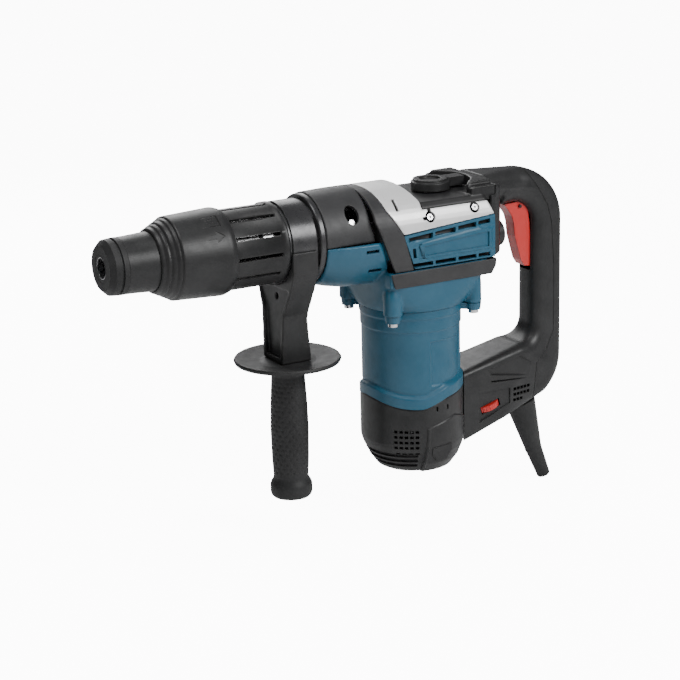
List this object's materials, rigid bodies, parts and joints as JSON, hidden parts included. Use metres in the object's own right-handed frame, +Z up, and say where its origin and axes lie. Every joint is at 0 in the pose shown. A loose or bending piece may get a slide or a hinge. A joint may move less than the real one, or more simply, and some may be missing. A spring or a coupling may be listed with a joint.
{
  "type": "combination hammer",
  "caption": "Hand-held electric breaking and drilling hammer: round tool holder, slotted barrel, upright motor below the gearbox, D-shaped rear handle and swivelling side handle.",
  "frame": {"origin": "mouth of the tool bore, on the spindle axis", "axes": "+X forward along the spindle axis, out of the tool holder; +Z up, away from the motor; +Y to the tool's left"},
  "size_m": [0.4725, 0.1042, 0.322],
  "materials": {
    "black_rubber": "soft matte, fine grain",
    "black_plastic": "satin, fine spark-eroded grain",
    "grey_plastic": "matte, fine grain",
    "blue_plastic": "matte, fine grain",
    "red_plastic": "satin",
    "silver_paint": "silver lacquer, satin",
    "bright_steel": "ground",
    "dark_steel": "phosphated",
    "aluminium": "cast",
    "lamination": "varnished sheet stack",
    "copper": "turned copper",
    "carbon": "pressed carbon"
  },
  "bodies": {
    "housing": {"guard_sleeve": "black_plastic", "barrel": "dark_steel", "spindle_bearings": "bright_steel", "front_cover": "grey_plastic", "cover_strap": "grey_plastic", "top_cover": "silver_paint", "top_deck": "black_plastic", "left_panel": "blue_plastic", "right_panel": "blue_plastic", "bumper_strip": "grey_plastic", "gear_housing": "blue_plastic", "rear_cover": "black_plastic", "rear_cap": "black_plastic", "gearbox_plate": "aluminium", "gear_bearings": "bright_steel", "armature_bearings": "bright_steel", "motor_housing": "blue_plastic", "stator": "lamination", "brush_carrier": "black_plastic", "carbon_brushes": "carbon", "motor_cap": "black_plastic", "housing_screws": "bright_steel", "case_screws": "bright_steel", "handle_left": "black_plastic", "handle_right": "black_plastic", "grip_pad": "black_rubber", "switch_module": "black_plastic", "cord_boot": "black_rubber"},
    "spindle": {"dust_cap": "black_rubber", "retaining_ring": "bright_steel", "front_collar": "black_plastic", "tool_holder": "bright_steel", "locking_rollers": "bright_steel", "hammer_tube": "bright_steel", "crown_gear": "dark_steel", "sleeve_spring": "bright_steel"},
    "locking_sleeve": {"locking_sleeve": "black_plastic", "locking_ring": "bright_steel"},
    "striking_pin": {"striking_pin": "bright_steel"},
    "striker": {"striker": "bright_steel"},
    "piston": {"piston": "bright_steel", "wrist_pin": "bright_steel"},
    "connecting_rod": {"connecting_rod": "aluminium", "crank_pin": "bright_steel"},
    "crank": {"crankshaft": "dark_steel", "crank_gear": "dark_steel"},
    "intermediate_shaft": {"intermediate_gear": "dark_steel", "crown_pinion": "dark_steel"},
    "armature": {"armature_shaft": "bright_steel", "armature_core": "lamination", "commutator": "copper", "fan": "black_plastic"},
    "selector": {"selector_knob": "black_plastic", "selector_shaft": "bright_steel"},
    "trigger": {"trigger": "red_plastic"},
    "thumbwheel": {"thumbwheel": "red_plastic"},
    "side_handle": {"clamp_band": "dark_steel", "handle_bracket": "black_plastic", "grip_bolt": "bright_steel"},
    "side_grip": {"side_grip": "black_rubber"}
  },
  "joints": [
    {"name": "armature_spin", "type": "hinge", "parent": "housing", "child": "armature", "pos_m": [-0.307, 0, -0.12], "axis": [0, 0, 1], "continuous": true},
    {"name": "crank_spin", "type": "hinge", "parent": "housing", "child": "crank", "pos_m": [-0.285, 0, -0.03], "axis": [0, 0, 1], "continuous": true},
    {"name": "intermediate_spin", "type": "hinge", "parent": "housing", "child": "intermediate_shaft", "pos_m": [-0.249, 0, -0.035], "axis": [0, 0, 1], "continuous": true},
    {"name": "spindle_spin", "type": "hinge", "parent": "housing", "child": "spindle", "pos_m": [-0.1, 0, 0], "axis": [1, 0, 0], "continuous": true},
    {"name": "piston_slide", "type": "slide", "parent": "housing", "child": "piston", "axis": [1, 0, 0], "range_m": [-0.013, 0.013]},
    {"name": "rod_swing", "type": "hinge", "parent": "piston", "child": "connecting_rod", "pos_m": [-0.24, 0, 0], "axis": [0, 0, 1], "range_deg": [-16.8, 16.8]},
    {"name": "striker_slide", "type": "slide", "parent": "spindle", "child": "striker", "axis": [1, 0, 0], "range_m": [-0.005, 0.005]},
    {"name": "striking_pin_slide", "type": "slide", "parent": "spindle", "child": "striking_pin", "axis": [1, 0, 0], "range_m": [-0.006, 0.006]},
    {"name": "sleeve_slide", "type": "slide", "parent": "spindle", "child": "locking_sleeve", "axis": [-1, 0, 0], "range_m": [0, 0.01], "stiffness_N_per_m": 900, "springref_m": -0.012, "deforming": ["sleeve_spring"]},
    {"name": "selector_turn", "type": "hinge", "parent": "housing", "child": "selector", "pos_m": [-0.33, 0, 0.03], "axis": [0, 0, 1], "range_deg": [-90, 90]},
    {"name": "trigger_pull", "type": "hinge", "parent": "housing", "child": "trigger", "pos_m": [-0.425, 0, 0.001], "axis": [0, 1, 0], "range_deg": [0, 6], "stiffness_Nm_per_rad": 1, "springref_deg": -14.32},
    {"name": "thumbwheel_turn", "type": "hinge", "parent": "housing", "child": "thumbwheel", "pos_m": [-0.381, 0.014, -0.186], "axis": [0.2756, 0, 0.9613], "range_deg": [0, 300]},
    {"name": "side_handle_swing", "type": "hinge", "parent": "housing", "child": "side_handle", "pos_m": [-0.176, 0, 0], "axis": [1, 0, 0], "range_deg": [-180, 180]},
    {"name": "grip_twist", "type": "hinge", "parent": "side_handle", "child": "side_grip", "pos_m": [-0.176, 0, -0.17], "axis": [0, 0, 1], "range_deg": [-360, 0]}
  ],
  "couplings": [
    {"joint": "crank_spin", "follows": "armature_spin", "ratio": -0.29412},
    {"joint": "intermediate_spin", "follows": "armature_spin", "ratio": 0.26316},
    {"joint": "spindle_spin", "follows": "armature_spin", "ratio": 0.063796}
  ]
}
